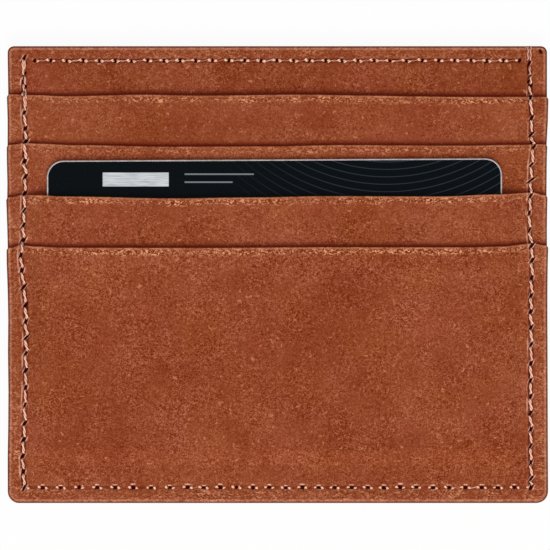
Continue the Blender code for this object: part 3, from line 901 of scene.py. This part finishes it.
card_core, tree, shader = new_material("card_core")
core_tone = noise(shifted_place(tree, (0.0, 0.0, 0.0)), 900.0, 3.0, 0.6)
core_shades = tones(core_tone, [(0.3, dye(176, 166, 164)), (0.7, dye(222, 212, 210))])
feed(shader, {"Base Color": core_shades, "Roughness": 0.5})

made = bmesh.new()
top_face = CARD_THICKNESS / 2
add_plate(made, CARD_WIDTH / 2, CARD_HEIGHT / 2, CARD_CORNER, -top_face, top_face, CARD_EDGE)
card = card_part("card", made)
dressed(card, "card", "card_plastic", card_print, "card_body")
card.data.materials.append(card_core)
for polygon in card.data.polygons:
    polygon.material_index = 1 if len(polygon.vertices) == 4 else 0


# Card fittings
# The chip is a small plate of gold-plated contacts let into the face. On the back lie the magnetic
# stripe, a smooth dark film, and the signature strip, a matt white film with faint lines.
FILM = 0.02
FILM_EDGE = 0.008
FILM_CORNER = 0.1
FILM_DEPTH = 0.1
CHIP_CORNER = 1.6
CHIP_EDGE = 0.005
CHIP_DEPTH = 0.2
CHIP_BORDER = 0.3
CONTACT_ROWS = 4
CONTACT_GAP = 0.16
CONTACT_HALF_WIDTH = 2.0
CONTACT_CORNER = 0.5
CONTACT_RISE = 1.5 * FILM
MIDDLE_CORNER = 0.6
MIDDLE_INSET = 4.5
MIDDLE_CONTACTS = ((2.1, 0.0), (1.35, 3.75), (1.35, -3.75))


def on_card(node_name):
    """Centre and half sizes of a fitting, in the card's own millimetres."""
    low, high = box_mm(node_name)
    off = (low + high) / 2 - card_middle
    cosine, sine = math.cos(CARD_TILT), math.sin(CARD_TILT)
    return np.array([[cosine, sine], [-sine, cosine]]) @ off[:2], (high - low)[:2] / 2


chip_centre, chip_half = on_card("card_chip")
made = bmesh.new()
add_plate(made, chip_half[0], chip_half[1], CHIP_CORNER, top_face - CHIP_DEPTH, top_face + FILM / 2,
          CHIP_EDGE, chip_centre)
row_height = 2 * (chip_half[1] - CHIP_BORDER) / CONTACT_ROWS
column_place = chip_half[0] - CONTACT_HALF_WIDTH - CHIP_BORDER
contacts = []
for column in (-1, 1):
    for row in range(CONTACT_ROWS):
        up_by = (row - (CONTACT_ROWS - 1) / 2) * row_height
        contacts.append((CONTACT_HALF_WIDTH, row_height / 2 - CONTACT_GAP / 2, CONTACT_CORNER,
                         column * column_place, up_by))
for half_y, up_by in MIDDLE_CONTACTS:
    contacts.append((chip_half[0] - MIDDLE_INSET, half_y, MIDDLE_CORNER, 0.0, up_by))
for half_x, half_y, corner, across_by, up_by in contacts:
    add_plate(made, half_x, half_y, corner, top_face, top_face + CONTACT_RISE, FILM_EDGE,
              (chip_centre[0] + across_by, chip_centre[1] + up_by))
chip = card_part("chip", made)
chip_gold, tree, shader = new_material("chip_gold")
gold_place = shifted_place(tree, tuple(-card_middle * MM))
brushing = noise(scaled(gold_place, (1.0, 12.0, 1.0)), 500.0, 3.0, 0.6)
on_contact = span(apart(gold_place)["Z"], (top_face + 0.6 * FILM) * MM, (top_face + 1.2 * FILM) * MM)
plating = tones(brushing, [(0.3, dye(196, 158, 88)), (0.7, dye(232, 200, 132))])
feed(shader, {"Base Color": mixed(on_contact, dye(92, 70, 36), plating),
              "Roughness": span(brushing, 0.3, 0.7, 0.24, 0.38), "Metallic": 1.0})
dressed(chip, "card", "chip_metal", chip_gold, "card_chip")

stripe_film, tree, shader = new_material("stripe_film")
film_grain = noise(shifted_place(tree, (0.0, 0.0, 0.0)), 1800.0, 3.0, 0.6)
feed(shader, {"Base Color": tones(film_grain, [(0.3, dye(16, 14, 14)), (0.7, dye(30, 27, 26))]),
              "Roughness": span(film_grain, 0.3, 0.7, 0.28, 0.4)})
paper_film, tree, shader = new_material("paper_film")
paper_place = shifted_place(tree, (0.0, 0.0, 0.0))
paper_lines = node(tree, "ShaderNodeTexWave", {"Vector": paper_place, "Scale": 190.0, "Distortion": 0.6},
                   bands_direction="DIAGONAL").outputs["Fac"]
fibres = noise(paper_place, 2400.0, 3.0, 0.6)
paper = mixed(times(span(paper_lines, 0.8, 0.95), 0.35), dye(228, 226, 220), dye(170, 176, 186))
paper = mixed(span(fibres, 0.3, 0.7, 0.0, 0.25), paper, dye(206, 203, 196))
feed(shader, {"Base Color": paper, "Roughness": 0.8})
for name, slot, finish in (("magnetic_stripe", "stripe_film", stripe_film),
                           ("signature_strip", "paper_film", paper_film)):
    centre, half = on_card("card_" + name)
    half = np.minimum(half, CARD_WIDTH / 2 - CARD_EDGE)
    made = bmesh.new()
    add_plate(made, half[0], half[1], FILM_CORNER, -top_face - FILM, -top_face + FILM_DEPTH, FILM_EDGE,
              centre)
    dressed(card_part(name, made), "card", slot, finish, "card_" + name)


# Stitching
# Waxed two-ply thread, sewn by hand through the pricked holes. Down the sides each stitch lies bare in
# its groove; along the top and bottom it has sunk into the leather and only its ends stand out. Short
# crossing threads lock the side seams below the top, and the right seam is taken over the top edge.
STITCH_RINGS = 26
STITCH_SIDES = 12
TWIST_LENGTH = 2.5
PLY_WAIST = 0.2
PLY_FULL = 0.6
PLY_SHADE = 9.0
PRESSED = 0.5
DIVE_LENGTH = 0.15
END_SHOWN = 0.42
END_RISE = 0.1
CLEAN_END = 0.6
END_WASH = 4.0
PROUD = 0.02
LEAN_SCATTER = 0.3
RADIUS_SCATTER = 0.06
SOIL_SCATTER = 0.06
SINK_SCATTER = 0.25
SUNK_SLIM = 0.8
SUNK_SHADE = 0.75
SUNK_SHADE_SCATTER = 0.15
BARE = dict(clear=0.46, lean=0.2, sink=0.0, radius=0.26, dive=0.7)
SUNK = dict(clear=0.34, lean=0.12, sink=0.08, radius=0.22, dive=0.6, swell=0.72)
BURIED = dict(clear=0.42, lean=0.1, sink=0.28, radius=0.22, dive=0.6, swell=0.45)
TACK = dict(clear=0.0, lean=0.0, sink=0.0, radius=0.2, dive=0.45)
FINE = dict(clear=0.3, lean=0.0, sink=0.0, radius=0.1, dive=0.25)


def stitches(name, rows):
    """One mesh of separate two-ply stitches; each is its path, its radii and how much grime and painted
    shade it carries.
    """
    paths, radii, grime_and_shade = (np.array(one) for one in zip(*rows))
    count, rings = paths.shape[:2]
    ahead = np.gradient(paths, axis=1)
    ahead /= np.linalg.norm(ahead, axis=2, keepdims=True)
    sideways = np.cross(ahead, np.array([0.0, 0.05, 1.0]))
    sideways /= np.linalg.norm(sideways, axis=2, keepdims=True)
    outwards = np.cross(sideways, ahead)
    length = np.linalg.norm(np.diff(paths, axis=1), axis=2).cumsum(axis=1)
    length = np.concatenate([np.zeros((count, 1)), length], axis=1)
    angle = np.linspace(0, 2 * math.pi, STITCH_SIDES, endpoint=False)[None, None, :]
    start = chance.uniform(0.0, math.pi, (count, 1, 1))
    twist = start + length[:, :, None] * 2 * math.pi / TWIST_LENGTH
    lobes = np.sqrt(PLY_WAIST + (1.0 - PLY_WAIST) * np.cos(angle - twist) ** 2)
    size = (radii[:, :, None] * lobes)[..., None]
    upward = np.clip(np.sin(angle), -PRESSED, PRESSED)
    points = paths[:, :, None, :] + size * (np.cos(angle)[..., None] * sideways[:, :, None, :]
                                            + upward[..., None] * outwards[:, :, None, :])
    index = np.arange(count * rings * STITCH_SIDES).reshape(count, rings, STITCH_SIDES)
    turned = np.roll(index, -1, axis=2)
    sides = np.stack([index[:, :-1], turned[:, :-1], turned[:, 1:], index[:, 1:]], axis=-1).reshape(-1, 4)
    caps = np.concatenate([index[:, 0, ::-1], index[:, -1, :]])
    piece = smooth_piece(name, points.reshape(-1, 3), sides.tolist() + caps.tolist())
    # Painted shade at the waist between the two plies.
    between_plies = PLY_SHADE * np.clip(PLY_FULL - lobes, 0.0, None)
    mark_points(piece, "grime_and_shade", (grime_and_shade[:, :, None] + between_plies).ravel())
    return piece


FACE_LEVEL = box_mm("front_panel")[1][2]
POCKET_STEP = box_mm("card_pocket_2")[0][2] - box_mm("card_pocket_1")[0][2]
STEP_ABOVE = 0.9
STEP_RUN = 1.2
BACK_SINK = 0.26


def margin_level(x, y):
    """Height of the sewn margin's face: a step up at each pocket mouth."""
    level = FACE_LEVEL
    for number in pocket_mouths:
        level = level + POCKET_STEP * smooth((mouth_line(number)(x) + STEP_ABOVE - y) / STEP_RUN)
    return level


def flat_level(height):
    """The same height all along a seam."""
    return lambda x, y: np.full_like(x, height)


def laid(start, end, level, facing, thread, offsets=None, soil_and_shade=0.0):
    """One stitch between two holes, bare or sunk between its pale ends, from and to a little aside."""
    t = np.linspace(0.0, 1.0, STITCH_RINGS)
    step = (end - start)[:2]
    run = np.hypot(*step)
    to_side = np.array([-step[1], step[0]]) / run
    clear = thread["clear"] / run
    along = clear + (1.0 - 2.0 * clear) * t
    lean = thread["lean"] * (1.0 + chance.normal(0.0, LEAN_SCATTER))
    first, last = offsets or (-lean, lean)
    aside = first + (last - first) * t
    x, y = (start[axis] + step[axis] * along + to_side[axis] * aside for axis in (0, 1))
    ends = np.minimum(t, 1.0 - t) * run * (1.0 - 2.0 * clear)
    dive = thread["dive"] * np.exp(-(ends / DIVE_LENGTH) ** 2)
    radius = thread["radius"] * (1.0 + chance.normal(0.0, RADIUS_SCATTER)) + 0.0 * t
    height = PROUD + chance.normal(0.0, PROUD) + 0.0 * t
    grime_and_shade = soil_and_shade + chance.normal(0.0, SOIL_SCATTER) + 0.0 * t
    if thread["sink"]:
        shown = np.exp(-(ends / END_SHOWN) ** 4)
        sink = thread["sink"] * (1.0 + chance.normal(0.0, SINK_SCATTER))
        height += END_RISE * shown - sink * (1.0 - shown)
        radius *= SUNK_SLIM + thread["swell"] * shown
        # Painted shade: a sunk stitch darkens along its middle; its raised ends are washed of this and of
        # soil.
        sunk_shade = SUNK_SHADE + chance.normal(0.0, SUNK_SHADE_SCATTER)
        grime_and_shade += sunk_shade * (1.0 - shown) - END_WASH * CLEAN_END * shown
    z = level(x, y) + facing * (height - dive)
    return np.stack([x, y, z], axis=-1), radius, grime_and_shade


def sewn(holes, level, facing, thread):
    """Every stitch of one row of holes."""
    return [laid(start, end, level, facing, thread) for start, end in zip(holes, holes[1:])]


def tacked(side, tacks):
    """The short threads that lock a side seam below the top."""
    seam = np.array([side * SIDE_SEAM, 0.0])
    return [laid(seam + start, seam + end, margin_level, 1, TACK, (0.0, 0.0), soil_and_shade)
            for start, end, soil_and_shade in tacks]


def over_edge(hole, aside):
    """A stitch from the last hole of the right seam, over the top edge to the back."""
    top = box_mm("front_panel")[1][1]
    # Heights and levels of its path: out of the hole, along the face, over the edge and in at the back.
    corners = np.array([(hole[1] + 0.5, FACE_LEVEL - 0.5), (hole[1] + 0.7, FACE_LEVEL + 0.05),
                        (top - 0.45, FACE_LEVEL + 0.05), (top - 0.05, FACE_LEVEL - 0.3), (top - 0.05, 0.5),
                        (top - 0.5, BACK_SINK), (hole[1] + 0.5, BACK_SINK), (hole[1] + 0.3, 0.6)])
    reach = np.concatenate([[0.0], np.hypot(*np.diff(corners, axis=0).T).cumsum()])
    steps = np.linspace(0.0, reach[-1], STITCH_RINGS)
    y, z = np.interp(steps, reach, corners[:, 0]), np.interp(steps, reach, corners[:, 1])
    spread = aside * smooth((y - hole[1] + 0.4) / 1.2)
    path = np.stack([hole[0] + spread, y, z], axis=-1)
    return path, np.full(STITCH_RINGS, OVER_THREAD), np.full(STITCH_RINGS, OVER_SOIL)


waxed_thread, tree, shader = new_material("waxed_thread")
thread_place = shifted_place(tree, (0.0, 0.0, 0.0))
fibre = noise(thread_place, 3800.0, 2.0, 0.6)
fading = noise(thread_place, 240.0, 2.0, 0.5)
thread_tone = plus(span(fibre, 0.2, 0.8, 0.1, 0.8), span(fading, 0.3, 0.7, -0.15, 0.25))
yarn = tones(thread_tone, [(0.0, dye(254, 176, 148)), (0.5, dye(255, 203, 177)), (1.0, dye(255, 222, 200))])
# The per-point mark adds grime to painted shade, between the plies and along sunk stitches; the ends carry
# neither.
soil_and_shade = attribute(tree, "grime_and_shade")
yarn = mixed(span(soil_and_shade, -0.1, -CLEAN_END), yarn, dye(255, 202, 174))
yarn = mixed(span(soil_and_shade, 0.0, 1.0), yarn, dye(168, 84, 56))
yarn = mixed(span(soil_and_shade, 1.0, 1.7), yarn, dye(92, 20, 4))
feed(shader, {"Base Color": yarn, "Roughness": 0.6, "Normal": bumped(fibre, 0.4)})
shader.inputs["Specular IOR Level"].default_value = 0.08

LEFT_TACKS = (((-0.24, 40.5), (-0.13, 37.6), 0.1), ((0.2, 40.4), (0.12, 38.6), 0.15),
              ((0.15, 37.3), (0.24, 35.8), 0.1), ((-0.3, 37.3), (-0.9, 35.5), 0.25),
              ((-0.11, 35.9), (-0.02, 34.5), 0.1), ((0.28, 35.0), (0.43, 33.0), 0.15),
              ((-0.3, 34.2), (-0.18, 33.6), 0.0), ((0.0, 33.6), (0.3, 30.9), 0.05),
              ((0.42, 33.0), (0.36, 31.4), 0.25))
RIGHT_TACKS = (((-0.1, 39.25), (0.06, 37.6), 0.45), ((0.13, 37.3), (0.19, 35.9), 0.0),
               ((-0.28, 35.5), (0.28, 33.8), 0.05))
OVER_THREAD = 0.23
OVER_SOIL = 0.4
OVER_ASIDE = (-0.24, 0.26)
face_rows = sewn(bottom_holes, margin_level, 1, BURIED) + tacked(-1, LEFT_TACKS) + tacked(1, RIGHT_TACKS)
for holes in (left_face_holes, right_face_holes):
    face_rows += sewn(holes[1:], margin_level, 1, BARE)
face_rows += [over_edge(right_holes[0], aside) for aside in OVER_ASIDE]
on_back = flat_level(BACK_SINK)
back_rows = (sewn(left_holes, on_back, -1, BARE) + sewn(right_holes, on_back, -1, BARE)
             + sewn(bottom_holes, on_back, -1, SUNK))
seam_rows = {"outer_seam_face": face_rows, "outer_seam_back": back_rows,
             "front_top_seam_face": sewn(top_holes, flat_level(FACE_LEVEL), 1, SUNK),
             "back_top_seam_face": sewn(top_holes, on_back, -1, SUNK)}
fine_seams = [("front_top_seam_lining", -1), ("back_top_seam_lining", 1)]
for number in (1, 2, 3):
    fine_seams += [("pocket_%d_floor_face" % number, 1), ("pocket_%d_floor_back" % number, -1)]
for seam, facing in fine_seams:
    low, high = box_mm(seam + "_thread")
    line_x = evenly(low[0] + FINE["clear"], high[0] - FINE["clear"], TOP_PITCH)
    line = np.stack([line_x, np.full_like(line_x, (low[1] + high[1]) / 2)], axis=1)
    seam_rows[seam] = sewn(line, flat_level((low[2] + high[2]) / 2), facing, FINE)
for seam, rows in seam_rows.items():
    dressed(stitches(seam + "_stitches", rows), "wallet", "thread", waxed_thread, seam + "_thread")


# Table, light and camera
# A plain white table top, one broad soft lamp a little towards the lower edge of the wallet, and a
# camera straight above it.
FLOOR_LEVEL = -0.00015
TABLE_SIZE = 4.0
TABLE_GLOW = 0.94
bpy.ops.mesh.primitive_plane_add(size=TABLE_SIZE, location=(0.0, 0.0, FLOOR_LEVEL))
table = bpy.context.object
table.name = "table_top"
white, tree, shader = new_material("table_white")
feed(shader, {"Base Color": (0.9, 0.9, 0.9, 1.0), "Roughness": 0.8})
glow = node(tree, "ShaderNodeEmission", {"Color": (1.0, 1.0, 1.0, 1.0), "Strength": 1.0})
ray = node(tree, "ShaderNodeLightPath")
seen = plus(ray.outputs["Is Camera Ray"], ray.outputs["Is Glossy Ray"])
seen = plus(seen, ray.outputs["Is Transmission Ray"])
seen = node(tree, "ShaderNodeMath", {0: seen, 1: TABLE_GLOW}, operation="MULTIPLY", use_clamp=True)
bright = node(tree, "ShaderNodeMixShader", {0: seen.outputs[0], 1: shader.outputs[0], 2: glow.outputs[0]})
tree.links.new(bright.outputs[0], tree.nodes["Material Output"].inputs["Surface"])
table.data.materials.append(white)
table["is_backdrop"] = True

lamp_data = bpy.data.lights.new("soft_lamp", "AREA")
lamp_data.shape = "DISK"
lamp_data.size = 0.9
lamp_data.energy = 10.9
lamp = bpy.data.objects.new("soft_lamp", lamp_data)
lamp.location = (0.0, -0.75, 1.0)
lamp.rotation_euler = (Vector((0.0, 0.0, 0.0)) - lamp.location).to_track_quat("-Z", "Y").to_euler()
bpy.context.scene.collection.objects.link(lamp)
world = bpy.data.worlds.new("soft_room")
world.use_nodes = True
world.node_tree.nodes["Background"].inputs["Color"].default_value = (1.0, 1.0, 1.0, 1.0)
world.node_tree.nodes["Background"].inputs["Strength"].default_value = 0.5
bpy.context.scene.world = world

CAMERA_HEIGHT = 1.0
FACE_HEIGHT = 0.006
PIXEL = 0.188 * MM
PICTURE_WIDTH = 550
CAMERA_ASIDE = -2.0 * PIXEL
CAMERA_DOWN = -0.8 * PIXEL
lens = bpy.data.cameras.new("camera")
lens.sensor_width = 36.0
lens.lens = lens.sensor_width * (CAMERA_HEIGHT - FACE_HEIGHT) / (PICTURE_WIDTH * PIXEL)
camera = bpy.data.objects.new("camera", lens)
camera.location = (CAMERA_ASIDE, CAMERA_DOWN, CAMERA_HEIGHT)
bpy.context.scene.collection.objects.link(camera)
bpy.context.scene.camera = camera
bpy.context.scene.view_settings.view_transform = "Standard"

low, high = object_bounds()
